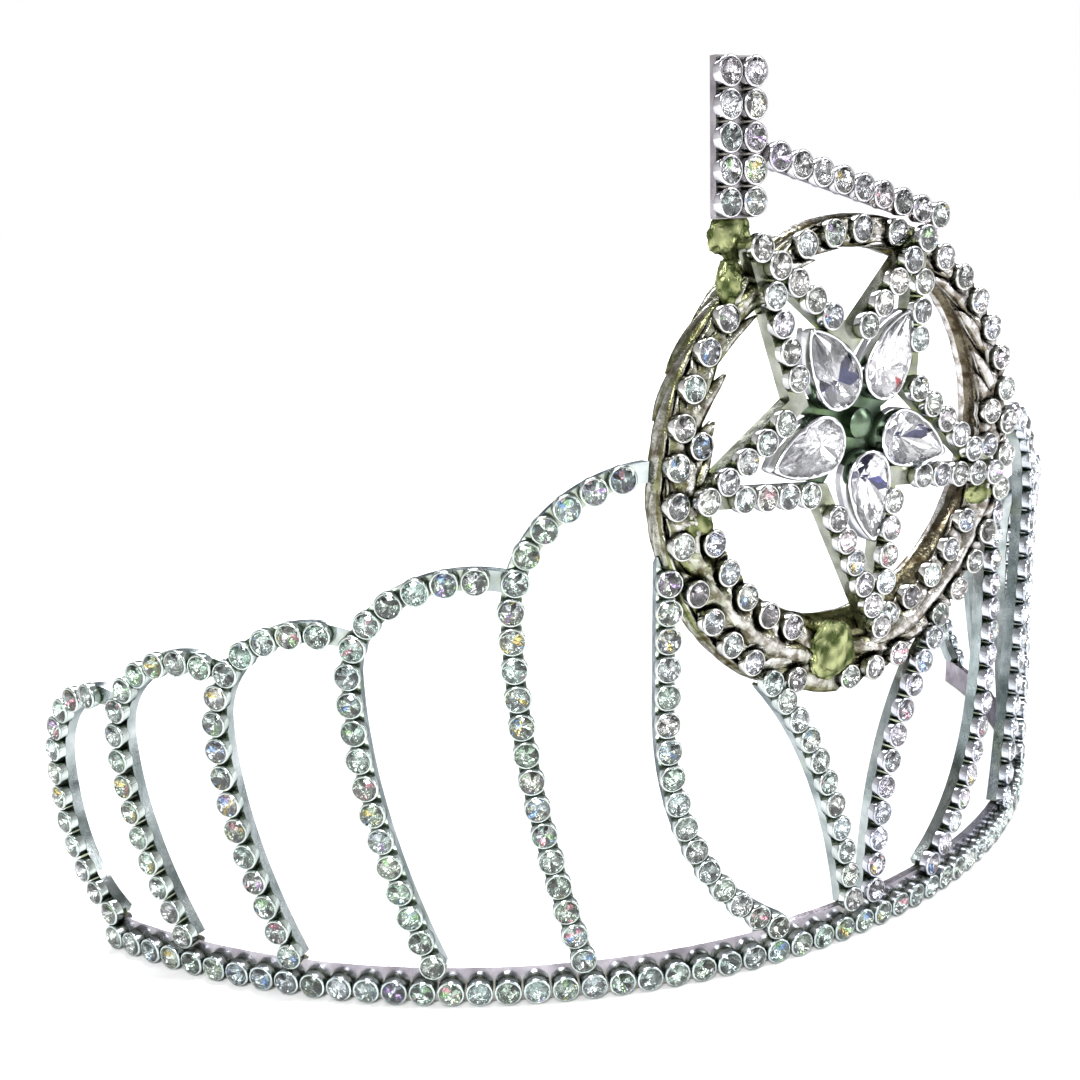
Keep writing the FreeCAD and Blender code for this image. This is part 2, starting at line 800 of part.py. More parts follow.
for feature in doc.Objects:
    if "Invalid" in feature.State or "Error" in feature.State:
        raise RuntimeError("%s failed: %s" % (feature.Label, feature.State))
for feature in nodes:
    if feature.Shape.isNull() or not feature.Shape.isValid():
        raise RuntimeError("bad shape: " + feature.Label)
    if not feature.Shape.Solids:
        raise RuntimeError("no solid in " + feature.Label)
for feature in nodes:
    feature.Shape.exportStep("parts/%s.step" % feature.Label)
print("nodes", len(nodes), "stones", setter.count)
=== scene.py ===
import math
import random

import bmesh
import bpy
import numpy as np
from mathutils import Matrix, Vector, noise


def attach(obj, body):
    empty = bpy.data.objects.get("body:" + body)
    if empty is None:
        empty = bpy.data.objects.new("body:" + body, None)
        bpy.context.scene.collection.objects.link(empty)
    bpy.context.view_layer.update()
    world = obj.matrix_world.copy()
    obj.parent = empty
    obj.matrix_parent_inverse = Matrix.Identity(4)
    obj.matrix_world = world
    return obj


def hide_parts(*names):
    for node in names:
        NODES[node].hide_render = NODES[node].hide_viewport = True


# Bridal tiara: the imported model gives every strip, cup and stone its place.
# Cups, stones, the wreath's leaves, the pears and the solder are built here.

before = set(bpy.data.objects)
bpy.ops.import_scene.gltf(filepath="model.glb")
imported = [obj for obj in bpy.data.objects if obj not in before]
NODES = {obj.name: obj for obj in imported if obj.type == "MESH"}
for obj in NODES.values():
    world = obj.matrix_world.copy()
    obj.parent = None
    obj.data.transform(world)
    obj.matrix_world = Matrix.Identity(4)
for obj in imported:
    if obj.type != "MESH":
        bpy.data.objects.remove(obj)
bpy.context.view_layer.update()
MM = 0.001

# Sizes in mm. Pear bearings in degrees from +X towards +Z; the ring's are in radians.
WALL_CENTRE = 79.55  # Y of the upright axis that the curved front wraps round
RING_Y = 2.45  # the wreath ring's front face
RING_BACK = 5.95
RING_RADIUS = 26.8
RING_HEIGHT = 56.5
HOLE_RADIUS = 20.3
HOLE_LIFT = 2.7  # how far the hole's centre is above the ring's

STONE_RADIUS = 1.35

PEAR_BEARINGS = (61, 127, 195, 278, 340)
PEAR_REACH = 6.3  # from the rosette's middle to a pear's centre
PEAR_RADIUS = 2.95
PEAR_TIP = 7.1
ROSETTE_HEIGHT = 60.8


# ------------------------------------------------------------- mesh helpers
class Pile:
    """Faces of many small solids that become one object."""

    def __init__(self):
        self.points = []
        self.faces = []
        self.slots = []
        self.colours = []
        self.smooth = []
        self.count = 0

    def add(self, points, faces, slots, colours, smooth=False):
        self.points.append(np.asarray(points, dtype=float))
        self.faces.extend(tuple(i + self.count for i in face) for face in faces)
        self.slots.extend(slots)
        self.colours.extend(colours)
        self.smooth.extend([smooth] * len(faces))
        self.count += len(points)

    def make(self, name, materials):
        """The object, in metres, with a colour on each face's corners."""
        points = np.concatenate(self.points) * MM
        mesh = bpy.data.meshes.new(name)
        mesh.from_pydata(points.tolist(), [], self.faces)
        for material in materials:
            mesh.materials.append(material)
        mesh.polygons.foreach_set("material_index", self.slots)
        mesh.polygons.foreach_set("use_smooth", self.smooth)
        layer = mesh.color_attributes.new("tint", "FLOAT_COLOR", "CORNER")
        rows = []
        for face, colour in zip(self.faces, self.colours):
            rows.extend([colour[0], colour[1], colour[2], 1.0] * len(face))
        layer.data.foreach_set("color", rows)
        mesh.validate()
        mesh.update()
        made = bpy.data.objects.new(name, mesh)
        bpy.context.scene.collection.objects.link(made)
        return made


def outward_faces(points, faces):
    """The same faces, in the same order, all turned to face out."""
    build = bmesh.new()
    corners = [build.verts.new(p) for p in points]
    for face in faces:
        build.faces.new([corners[i] for i in face])
    bmesh.ops.recalc_face_normals(build, faces=build.faces)
    build.verts.index_update()
    turned = [tuple(v.index for v in face.verts) for face in build.faces]
    build.free()
    return turned


def tube_faces(around, across):
    """Quads of a closed tube: rings of points, one after another, joined in a loop."""
    faces = []
    for i in range(around):
        here, there = i * across, (i + 1) % around * across
        for k in range(across):
            after = (k + 1) % across
            faces.append((here + k, here + after, there + after, there + k))
    return faces


def lathe(profile, steps, wave):
    """A solid turned about Z from (radius, height) pairs that start and end on it.

    wave(ring, angle) is added to the radius.
    """
    points = [(0.0, 0.0, profile[0][1])]
    for i, (radius, height) in enumerate(profile[1:-1]):
        for k in range(steps):
            angle = 2 * math.pi * k / steps
            reach = radius + wave(i, angle)
            points.append((reach * math.cos(angle), reach * math.sin(angle), height))
    points.append((0.0, 0.0, profile[-1][1]))
    rings = len(profile) - 2
    faces = []
    for k in range(steps):
        after = (k + 1) % steps
        faces.append((0, 1 + after, 1 + k))
        for r in range(rings - 1):
            low, high = 1 + r * steps, 1 + (r + 1) * steps
            faces.append((low + k, low + after, high + after, high + k))
        last = 1 + (rings - 1) * steps
        faces.append((last + k, last + after, len(points) - 1))
    return np.array(points), faces


def turned_to(axis, spin):
    """Rows of a rotation that takes Z to an axis, after a spin about Z."""
    out = Vector(axis).normalized()
    turn = out.to_track_quat("Z", "Y").to_matrix() @ Matrix.Rotation(spin, 3, "Z")
    return np.array(turn)


# ------------------------------------------------ where the cups are in CAD
def separate_solids(node):
    """Points of each separate solid of a CAD node, in mm."""
    mesh = NODES[node].data
    points = np.empty(len(mesh.vertices) * 3)
    mesh.vertices.foreach_get("co", points)
    points = points.reshape(-1, 3) / MM
    merged, where = np.unique(np.round(points, 4), axis=0, return_inverse=True)
    where = where.ravel()
    parent = list(range(len(merged)))

    def root(i):
        while parent[i] != i:
            parent[i] = parent[parent[i]]
            i = parent[i]
        return i

    for edge in mesh.edges:
        a, b = root(where[edge.vertices[0]]), root(where[edge.vertices[1]])
        parent[a] = b
    islands = {}
    for i in range(len(merged)):
        islands.setdefault(root(i), []).append(i)
    return [merged[members] for members in islands.values()]


def cup_spots(node):
    """Base centre and outward axis of each cup in a CAD node, in mm."""
    spots = []
    for cup in separate_solids(node):
        middle = cup.mean(axis=0)
        _, vectors = np.linalg.eigh(np.cov((cup - middle).T))
        axis = vectors[:, 0]
        if axis[0] * middle[0] + axis[1] * (middle[1] - WALL_CENTRE) < 0:
            axis = -axis
        base = middle + axis * ((cup - middle) @ axis).min()
        spots.append((base, axis))
    spots.sort(key=lambda s: tuple(np.round(s[0], 2)))
    return spots


# ------------------------------------------------------------ cut stones
def round_outline(share):
    angle = 2 * math.pi * share
    return STONE_RADIUS * math.cos(angle), STONE_RADIUS * math.sin(angle)


def brilliant(outline, mains, levels):
    """A brilliant cut on any outline.

    levels: (table scale, table z), (crown scale, crown z), girdle top z,
    girdle bottom z, (pavilion scale, pavilion z), culet z.
    Returns points, faces and each face's kind.
    """
    table, crown, top, bottom, low, culet = levels
    points = []

    def ring(count, phase, scale, height):
        start = len(points)
        for k in range(count):
            x, y = outline((k + phase) / count)
            points.append((x * scale, y * scale, height))
        return lambda i: start + i % count

    t = ring(mains, 0.0, table[0], table[1])
    m = ring(mains, 0.5, crown[0], crown[1])
    g = ring(2 * mains, 0.0, 1.0, top)
    b = ring(2 * mains, 0.0, 1.0, bottom)
    p = ring(mains, 0.5, low[0], low[1])
    points.append((0.0, 0.0, culet))
    tip = len(points) - 1
    faces = [tuple(t(k) for k in range(mains))]
    kinds = ["table"]
    for k in range(mains):
        even = 2 * k
        faces.append((t(k), t(k + 1), m(k)))
        faces.append((t(k), m(k - 1), g(even), m(k)))
        faces.append((m(k), g(even), g(even + 1)))
        faces.append((m(k), g(even + 1), g(even + 2)))
        kinds.extend(["crown"] * 4)
        faces.append((g(even), g(even + 1), b(even + 1), b(even)))
        faces.append((g(even + 1), g(even + 2), b(even + 2), b(even + 1)))
        kinds.extend(["girdle"] * 2)
        faces.append((tip, p(k - 1), b(even), p(k)))
        faces.append((p(k), b(even), b(even + 1)))
        faces.append((p(k), b(even + 1), b(even + 2)))
        kinds.extend(["pavilion"] * 3)
    return np.array(points), outward_faces(points, faces), kinds


ROUND_LEVELS = ((0.56, 1.51), (0.80, 1.37), 1.16, 1.06, (0.55, 0.64), 0.27)
ROUND = brilliant(round_outline, 8, ROUND_LEVELS)

# colours of painted flashes of fire, put on a few foil facets
PAINTED_FLASHES = (
    (0.95, 0.75, 0.25),
    (0.95, 0.45, 0.55),
    (0.35, 0.55, 0.95),
    (0.55, 0.85, 0.45),
    (0.75, 0.55, 0.95),
)
# painted reflection tones of the foil facets, from bright to dark
PAINTED_FOIL_TONES = (1.0, 1.0, 1.0, 0.92, 0.6, 0.3, 0.08)


def foil_slots(kinds):
    """Glass in slot 0 for the crown, foil in slot 1 for the lower facets."""
    return [1 if kind in ("pavilion", "girdle") else 0 for kind in kinds]


def facet_colours(kinds, chance, tint, painted_flash_chance):
    """A painted reflection tone for each lower facet, bright or dark, now and then a painted flash
    of colour.
    """
    colours = []
    for kind in kinds:
        if kind == "pavilion":
            tone = chance.choice(PAINTED_FOIL_TONES)
            colour = [tone * c for c in tint]
            if chance.random() < painted_flash_chance:
                colour = chance.choice(PAINTED_FLASHES)
        else:
            colour = [0.5 + 0.5 * c for c in tint]
        colours.append(colour)
    return colours


# ----------------------------------------------------------------- materials
def new_material(name):
    material = bpy.data.materials.new(name)
    material.use_nodes = True
    tree = material.node_tree
    return material, tree, tree.nodes["Principled BSDF"]


def add_node(tree, kind, **values):
    made = tree.nodes.new(kind)
    for key, value in values.items():
        setattr(made, key, value)
    return made


def noise_field(tree, scale, detail, roughness=0.55):
    """Noise in the object's own space, its scale per metre."""
    place = add_node(tree, "ShaderNodeTexCoord")
    made = add_node(tree, "ShaderNodeTexNoise")
    made.inputs["Scale"].default_value = scale
    made.inputs["Detail"].default_value = detail
    made.inputs["Roughness"].default_value = roughness
    tree.links.new(place.outputs["Object"], made.inputs["Vector"])
    return made


def ramp(tree, source, stops):
    """Colours by a value, from (position, colour) stops."""
    made = add_node(tree, "ShaderNodeValToRGB")
    elements = made.color_ramp.elements
    while len(elements) < len(stops):
        elements.new(0.5)
    for element, (place, colour) in zip(elements, stops):
        element.position = place
        element.color = (*colour, 1.0)
    tree.links.new(source, made.inputs["Fac"])
    return made


def blend_colour(tree, factor, a, b):
    """Colour a where the factor is 0, colour b where it is 1."""
    made = add_node(tree, "ShaderNodeMix", data_type="RGBA", blend_type="MIX")
    tree.links.new(factor, made.inputs[0])
    tree.links.new(a, made.inputs[6])
    tree.links.new(b, made.inputs[7])
    return made


def bump(tree, shader, height, strength, distance):
    made = add_node(tree, "ShaderNodeBump")
    made.inputs["Strength"].default_value = strength
    made.inputs["Distance"].default_value = distance
    tree.links.new(height, made.inputs["Height"])
    tree.links.new(made.outputs["Normal"], shader.inputs["Normal"])


def shaded_paint(tree, shade):
    """The colour painted on the faces, multiplied by a shade."""
    paint = add_node(tree, "ShaderNodeAttribute", attribute_name="tint")
    mixed = add_node(tree, "ShaderNodeMix", data_type="RGBA", blend_type="MULTIPLY")
    mixed.inputs[0].default_value = 1.0
    tree.links.new(paint.outputs["Color"], mixed.inputs[6])
    tree.links.new(shade.outputs["Color"], mixed.inputs[7])
    return mixed


# metals are darker at grazing angles, which outlines them on the pale floor
EDGE_TINT = (0.22, 0.23, 0.25, 1.0)


def crevice_shade_and_tarnish(tree, distance, open_at):
    """0 in the open and 1 deep in a corner: painted shade where corners are shaded, and tarnish
    that gathers there.
    """
    shelter = add_node(tree, "ShaderNodeAmbientOcclusion", samples=6)
    shelter.inputs["Distance"].default_value = distance
    return ramp(
        tree, shelter.outputs["AO"], ((open_at - 0.5, (1.0,) * 3), (open_at, (0.0,) * 3))
    )


def silver(name, light, dark, tarnish, patina_from, rough, scratch=0.25):
    """Silver plate: soft stains, a tarnish in patches, fine scratches."""
    material, tree, shader = new_material(name)
    shader.inputs["Metallic"].default_value = 1.0
    shader.inputs["Specular Tint"].default_value = EDGE_TINT
    stains = noise_field(tree, 260.0, 4.0)
    base = ramp(tree, stains.outputs["Fac"], ((0.34, dark), (0.66, light)))
    patches = noise_field(tree, 95.0, 5.0, 0.62)
    mask = ramp(
        tree,
        patches.outputs["Fac"],
        ((patina_from, (0, 0, 0)), (min(patina_from + 0.16, 1.0), (0.85, 0.85, 0.85))),
    )
    flat = ramp(tree, stains.outputs["Fac"], ((0.3, [c * 0.75 for c in tarnish]), (0.7, tarnish)))
    mixed = blend_colour(
        tree, mask.outputs["Color"], base.outputs["Color"], flat.outputs["Color"]
    )
    # corners are darkened: painted shade, and tarnish gathered there
    corner = crevice_shade_and_tarnish(tree, 0.0009, 0.86)
    shade_and_tarnish = ramp(
        tree,
        stains.outputs["Fac"],
        ((0.3, [c * 0.6 for c in tarnish]), (0.7, [c * 0.9 for c in tarnish])),
    )
    mixed = blend_colour(tree, corner.outputs["Color"], mixed.outputs[2], shade_and_tarnish.outputs["Color"])
    tree.links.new(mixed.outputs[2], shader.inputs["Base Color"])
    polish = noise_field(tree, 620.0, 3.0)
    rough_ramp = ramp(
        tree, polish.outputs["Fac"], ((0.3, (rough[0],) * 3), (0.7, (rough[1],) * 3))
    )
    tree.links.new(rough_ramp.outputs["Color"], shader.inputs["Roughness"])
    grain = noise_field(tree, 1900.0, 2.0)
    bump(tree, shader, grain.outputs["Fac"], scratch, 0.00006)
    return material


def tinted_metal(
    name, rough, grain_scale, strength, distance, shade_and_tarnish, metallic=1.0, stain=(0.74, 0.74, 0.74)
):
    """Metal whose colour is painted on its faces, with a mottled polish."""
    material, tree, shader = new_material(name)
    shader.inputs["Metallic"].default_value = metallic
    shader.inputs["Specular Tint"].default_value = EDGE_TINT
    mottle = noise_field(tree, grain_scale * 0.35, 4.0)
    shade = ramp(tree, mottle.outputs["Fac"], ((0.36, stain), (0.58, (1.0,) * 3)))
    mixed = shaded_paint(tree, shade)
    # corners are darkened toward the dark colour: painted shade, and grime gathered there
    corner = crevice_shade_and_tarnish(tree, 0.0008, 0.80)
    shade_and_grime = ramp(
        tree, mottle.outputs["Fac"], ((0.3, [c * 0.6 for c in shade_and_tarnish]), (0.7, shade_and_tarnish))
    )
    mixed = blend_colour(tree, corner.outputs["Color"], mixed.outputs[2], shade_and_grime.outputs["Color"])
    tree.links.new(mixed.outputs[2], shader.inputs["Base Color"])
    polish = ramp(
        tree, mottle.outputs["Fac"], ((0.3, (rough[1],) * 3), (0.7, (rough[0],) * 3))
    )
    tree.links.new(polish.outputs["Color"], shader.inputs["Roughness"])
    grain = noise_field(tree, grain_scale, 3.0)
    bump(tree, shader, grain.outputs["Fac"], strength, distance)
    return material


def foil(name, metallic, rough, ripple):
    """The mirror foil behind a stone, a painted reflection tone to a facet, slightly rippled."""
    material, tree, shader = new_material(name)
    shader.inputs["Metallic"].default_value = metallic
    cloud = noise_field(tree, 900.0, 2.0)
    shade = ramp(tree, cloud.outputs["Fac"], ((0.3, (0.86,) * 3), (0.7, (1.0,) * 3)))
    mixed = shaded_paint(tree, shade)
    tree.links.new(mixed.outputs[2], shader.inputs["Base Color"])
    polish = ramp(tree, cloud.outputs["Fac"], ((0.3, (rough[0],) * 3), (0.7, (rough[1],) * 3)))
    tree.links.new(polish.outputs["Color"], shader.inputs["Roughness"])
    waves = noise_field(tree, 1700.0, 1.0)
    bump(tree, shader, waves.outputs["Fac"], ripple, 0.0005)
    return material


def crystal(name):
    """Clear cut glass with faint wear on its polish."""
    material, tree, shader = new_material(name)
    shader.inputs["Transmission Weight"].default_value = 1.0
    shader.inputs["IOR"].default_value = 1.56
    wear = noise_field(tree, 1400.0, 3.0)
    clear = ramp(
        tree, wear.outputs["Fac"], ((0.35, (0.95, 0.975, 0.97)), (0.65, (1.0, 1.0, 1.0)))
    )
    tree.links.new(clear.outputs["Color"], shader.inputs["Base Color"])
    polish = ramp(tree, wear.outputs["Fac"], ((0.4, (0.0,) * 3), (0.8, (0.05,) * 3)))
    tree.links.new(polish.outputs["Color"], shader.inputs["Roughness"])
    return material


STRIP = silver(
    "strip_silver", (0.50, 0.54, 0.55), (0.22, 0.26, 0.26), (0.42, 0.47, 0.33), 0.60, (0.10, 0.26)
)
BAND = silver(
    "band_silver", (0.50, 0.47, 0.52), (0.24, 0.22, 0.25), (0.50, 0.50, 0.42), 0.64, (0.12, 0.30)
)
STAR = silver(
    "star_silver", (0.36, 0.37, 0.33), (0.14, 0.15, 0.12), (0.36, 0.40, 0.20), 0.54, (0.12, 0.32)
)
GAVEL = silver(
    "gavel_silver", (0.48, 0.46, 0.49), (0.24, 0.22, 0.25), (0.45, 0.42, 0.38), 0.58, (0.12, 0.30)
)
BACK = silver(
    "backing_silver", (0.20, 0.26, 0.20), (0.06, 0.09, 0.06), (0.16, 0.24, 0.12), 0.48, (0.22, 0.45)
)
CUPS = tinted_metal("cup_silver", (0.07, 0.22), 1500.0, 0.15, 0.00004, (0.36, 0.41, 0.38))
CAST = tinted_metal(
    "cast_silver", (0.14, 0.36), 2200.0, 0.6, 0.00016, (0.06, 0.055, 0.04), stain=(0.30, 0.26, 0.21)
)
SOLDER = tinted_metal(
    "solder_patina", (0.20, 0.50), 800.0, 0.8, 0.0003, (0.10, 0.13, 0.03), metallic=0.8
)
FOIL = foil("stone_foil", 1.0, (0.03, 0.09), 0.7)
GLASS = crystal("stone_crystal")
PEAR_FOIL = foil("pear_foil", 0.85, (0.10, 0.22), 0.10)
PEAR_GLASS = crystal("pear_crystal")


# ------------------------------------------------------------ cups and stones
# (radius, height) from the middle of the base, up the wall and down inside
CUP_PROFILE = (
    (0.0, 0.0),
    (1.40, 0.0),
    (1.47, 0.10),
    (1.48, 0.74),
    (1.52, 0.90),
    (1.52, 1.04),
    (1.46, 1.15),
    (1.37, 1.18),
    (1.29, 1.17),
    (1.27, 1.10),
    (1.35, 0.95),
    (1.35, 0.25),
    (0.0, 0.25),
)


RIM_RINGS = (6, 7, 8)
CLAW_PRESS = 0.10


def pressed_rim(ring, angle):
    """Four claws pressed in over the stone."""
    if ring not in RIM_RINGS:
        return 0.0
    return -CLAW_PRESS * abs(math.cos(2 * angle)) ** 8


CUP = lathe(CUP_PROFILE, 24, pressed_rim)
CUP_FACES = outward_faces(*CUP)

# what each pair of nodes looks like: stone tint, metal tint, chance of a painted flash
LAVENDER = (0.92, 0.92, 1.0)
NEUTRAL = (0.96, 0.97, 0.98)
PAIRS = (
    ("base", (0.84, 0.95, 0.92), (0.72, 0.80, 0.80), 0.06),
    ("wreath", NEUTRAL, (0.70, 0.70, 0.67), 0.04),
    ("left_wing", (0.86, 0.96, 0.90), (0.62, 0.69, 0.66), 0.09),
    ("right_wing", LAVENDER, (0.66, 0.70, 0.76), 0.05),
    ("left_support", (0.90, 0.96, 0.94), (0.64, 0.69, 0.68), 0.05),
    ("right_support", LAVENDER, (0.67, 0.68, 0.75), 0.05),
    ("star", NEUTRAL, (0.72, 0.72, 0.72), 0.04),
    ("gavel", (0.97, 0.96, 0.98), (0.72, 0.70, 0.74), 0.04),
)

for number, (name, tint, metal, painted_flash_chance) in enumerate(PAIRS):
    chance = random.Random(100 + number)
    cups, stones = Pile(), Pile()
    for base, axis in cup_spots(name + "_cups"):
        spin = chance.uniform(0, math.pi / 2)
        turn = turned_to(axis, spin)
        shine = chance.uniform(0.86, 1.0)
        colour = [min(1.0, shine * c) for c in metal]
        cups.add(CUP[0] @ turn.T + base, CUP_FACES, [0] * len(CUP_FACES),
                 [colour] * len(CUP_FACES), smooth=True)
        lean = [c + chance.uniform(-0.05, 0.05) for c in axis]
        turn = turned_to(lean, chance.uniform(0, math.pi))
        hue = [min(1.0, c * chance.uniform(0.94, 1.04)) for c in tint]
        points, faces, kinds = ROUND
        colours = facet_colours(kinds, chance, hue, painted_flash_chance)
        stones.add(points @ turn.T + base, faces, foil_slots(kinds), colours)
    made = cups.make(name + "_bezels", [CUPS])
    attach(made, "root")
    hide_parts(name + "_cups")
    made = stones.make(name + "_crystals", [GLASS, FOIL])
    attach(made, "root")
    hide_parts(name + "_stones")


# ------------------------------------------------------------- wreath leaves
def ring_inner(bearing):
    """Distance from the ring's centre to its hole's edge."""
    return HOLE_LIFT * math.sin(bearing) + math.sqrt(
        HOLE_RADIUS ** 2 - (HOLE_LIFT * math.cos(bearing)) ** 2
    )


WREATH_CUPS = np.array([base for base, axis in cup_spots("wreath_cups")])
CUP_REACH = 1.5  # from a cup's centre to its wall
CLEARING = 0.7  # width of the slope from a cup's foot up to full leaf height
LEAF_FLOOR, LEAF_CEILING = -0.1, 1.15


def room_at(x, z):
    """How far a leaf may stand ahead of the ring's face, clear of the cups."""
    near = np.hypot(WREATH_CUPS[:, 0] - x, WREATH_CUPS[:, 2] - z).min()
    share = min(1.0, max(0.0, (near - CUP_REACH) / CLEARING))
    return LEAF_FLOOR + (LEAF_CEILING - LEAF_FLOOR) * share


def ring_point(bearing, radius, front):
    """front is the distance ahead of the ring's front face."""
    return (
        radius * math.cos(bearing),
        RING_Y - front,
        RING_HEIGHT + radius * math.sin(bearing),
    )


def mixed_tone(share, low, high):
    """A colour between two, with the share held between 0 and 1."""
    share = max(0.0, min(1.0, share))
    return [a + share * (b - a) for a, b in zip(low, high)]


GROOVE = (0.15, 0.12, 0.10)
OLIVE_GROOVE = (0.20, 0.23, 0.09)
LEAF_EDGE = (0.80, 0.79, 0.80)


def leftness(bearing):
    """1 at the ring's left, 0 at its right."""
    return 0.5 - 0.5 * math.cos(bearing)


def groove_colour(bearing):
    """Grooves are olive on the left side and brown elsewhere."""
    patch = 0.5 + 0.5 * noise.noise(Vector((3 * math.cos(bearing), 3 * math.sin(bearing), 1.7)))
    return mixed_tone(leftness(bearing) * 1.15 * patch + 0.12, GROOVE, OLIVE_GROOVE)


def bulged(value, power):
    """A sine or cosine raised to a power below 1, which squares off a round."""
    return math.copysign(abs(value) ** power, value)


def ring_body(pile):
    """The cast ring under the leaves: a flat back and an uneven front."""
    around, across = 240, 14
    points = []
    for i in range(around):
        bearing = 2 * math.pi * i / around
        inner, outer = ring_inner(bearing) + 0.15, RING_RADIUS - 0.7
        for k in range(across):
            turn = 2 * math.pi * k / across
            side, rise = bulged(math.cos(turn), 0.5), bulged(math.sin(turn), 0.6)
            radius = (inner + outer) / 2 + side * (outer - inner) / 2
            y = (RING_BACK + RING_Y) / 2 - rise * (RING_BACK - RING_Y) / 2
            spot = Vector((radius * math.cos(bearing), y, radius * math.sin(bearing)))
            rough = noise.noise(spot * 0.6)
            if rise > 0:
                y += 0.15 + 0.35 * rough
            radius += 0.12 * rough
            points.append((radius * math.cos(bearing), y, RING_HEIGHT + radius * math.sin(bearing)))
    colours = []
    for i in range(around):
        bearing = 2 * math.pi * (i + 0.5) / around
        tone = groove_colour(bearing)
        for k in range(across):
            front = math.sin(2 * math.pi * (k + 0.5) / across)
            side = 0.72 + 0.25 * noise.noise(Vector((6 * bearing, k, 4.2)))
            colours.append(tone if front > 0.15 else mixed_tone(side, tone, LEAF_EDGE))
    faces = outward_faces(points, tube_faces(around, across))
    pile.add(points, faces, [0] * len(faces), colours, smooth=True)


def arch(q, share):
    """A leaf's swell: none on its edges, where q is 1 or -1, and none at its tip."""
    return (1 - q * q) * math.sin(math.pi * min(1, share + 0.08)) ** 0.5


def add_shell(pile, top, under, shades, along, across, chance):
    """A leaf's closed solid from its two skins, with a painted highlight on its ridge and painted
    shade toward its edges and stem.

    shades has (place across, share of the length, bearing) for each point.
    """
    points = top + under
    count = len(top)
    row = across + 1
    faces, colours = [], []

    def paint(a, b):
        q = (shades[a][0] + shades[b][0]) / 2
        share = (shades[a][1] + shades[b][1]) / 2
        bearing = shades[a][2]
        tone = groove_colour(bearing)
        # painted highlight on the ridge, painted shade toward the edges and the stem
        bright = 0.98 - abs(q) ** 1.7 - 0.5 * (1 - share) ** 2
        bright += chance.uniform(-0.18, 0.10)
        patch = 0.6 + 0.8 * noise.noise(Vector((9 * bearing, 2 * q, 0.3)))
        bright -= 0.5 * leftness(bearing) * patch
        return mixed_tone(bright, tone, LEAF_EDGE)

    def rim(a):
        return mixed_tone(0.45, groove_colour(shades[a][2]), LEAF_EDGE)

    for i in range(along):
        for k in range(across):
            a, b, c, d = i * row + k, i * row + k + 1, (i + 1) * row + k + 1, (i + 1) * row + k
            faces.append((a, b, c, d))
            faces.append((a + count, b + count, c + count, d + count))
            colours.extend([paint(a, c)] * 2)
    for i in range(along):
        for k in (0, across):
            a, b = i * row + k, (i + 1) * row + k
            faces.append((a, b, b + count, a + count))
            colours.append(rim(a))
    for k in range(across):
        for i in (0, along):
            a = i * row + k
            faces.append((a, a + 1, a + 1 + count, a + count))
            colours.append(rim(a))
    faces = outward_faces(points, faces)
    pile.add(points, faces, [0] * len(faces), colours, smooth=True)


LEAF_PATH = RING_RADIUS - 3.0  # the radius that leaf lengths are walked along
LEAF_DEPTH = 0.55
SIDE_LEAF_DEPTH = 0.5


def leaf(pile, bearing, way, start, finish, length, width, lift, chance):
    """One long laurel leaf, from its stem at the bearing to its tip.

    way is 1 or -1, the way round; start and finish are the radii at its ends.
    """
    along, across = 12, 8
    top, under, shades = [], [], []
    curl = chance.uniform(-0.25, 0.25)
    for i in range(along + 1):
        share = i / along
        here = bearing + way * share * length / LEAF_PATH
        middle = start + (finish - start) * share ** 1.15
        half = width / 2 * max(0.0, math.sin(math.pi * (0.04 + 0.96 * share) ** 0.8)) ** 0.8
        half = max(half, 0.03)
        for k in range(across + 1):
            q = 2 * k / across - 1
            crown = 0.62 * arch(q, share)
            rib = 0.20 * math.exp(-((q / 0.16) ** 2)) * (1 - share)
            vein = 0.05 * math.cos(14 * share + 7 * abs(q))
            height = lift + 0.45 * share + crown + rib + vein + curl * q * share
            radius = middle + q * half
            radius = min(max(radius, ring_inner(here) - 0.3), RING_RADIUS - 0.05)
            x, z = radius * math.cos(here), RING_HEIGHT + radius * math.sin(here)
            height = min(height, room_at(x, z))
            top.append(ring_point(here, radius, height))
            under.append(ring_point(here, radius, height - LEAF_DEPTH))
            shades.append((q, share, here))
    add_shell(pile, top, under, shades, along, across, chance)


# each row's start and finish as shares of the ring's width, and its lift
LEAF_ROWS = ((0.42, 0.86, 0.0), (0.58, 0.16, 0.05), (0.5, 0.54, 0.32))
LEAF_CLIMB = 74
SIDE_LEAF_CLIMB = 80


def leaves(pile):
    """Three rows climb each side, from the bottom to the top."""
    chance = random.Random(7)
    for way in (1, -1):
        for row, (share0, share1, lift) in enumerate(LEAF_ROWS):
            climbed = row * 2.0
            while climbed < LEAF_CLIMB:
                bearing = -math.pi / 2 + way * climbed / LEAF_PATH
                inner = ring_inner(bearing)
                room = RING_RADIUS - inner
                start = inner + room * share0
                finish = inner + room * share1
                length = chance.uniform(8.5, 13.0)
                width = room * chance.uniform(0.30, 0.44)
                leaf(pile, bearing, way, start, finish, length, width, lift, chance)
                climbed += chance.uniform(4.4, 6.2)


def long_leaves(pile):
    """Two pointed leaves along the ring's foot and two crossed at its top."""
    chance = random.Random(23)
    foot, top = RING_RADIUS - 1.6, RING_RADIUS - 2.2
    leaf(pile, math.radians(-118), 1, foot - 0.4, foot + 0.5, 19.0, 2.6, 0.55, chance)
    leaf(pile, math.radians(-72), 1, foot - 1.5, foot + 0.3, 12.0, 2.2, 0.50, chance)
    leaf(pile, math.radians(97), -1, top - 0.6, top + 1.2, 13.0, 2.0, 0.45, chance)
    leaf(pile, math.radians(90), -1, top + 1.0, top - 1.6, 12.0, 1.8, 0.40, chance)


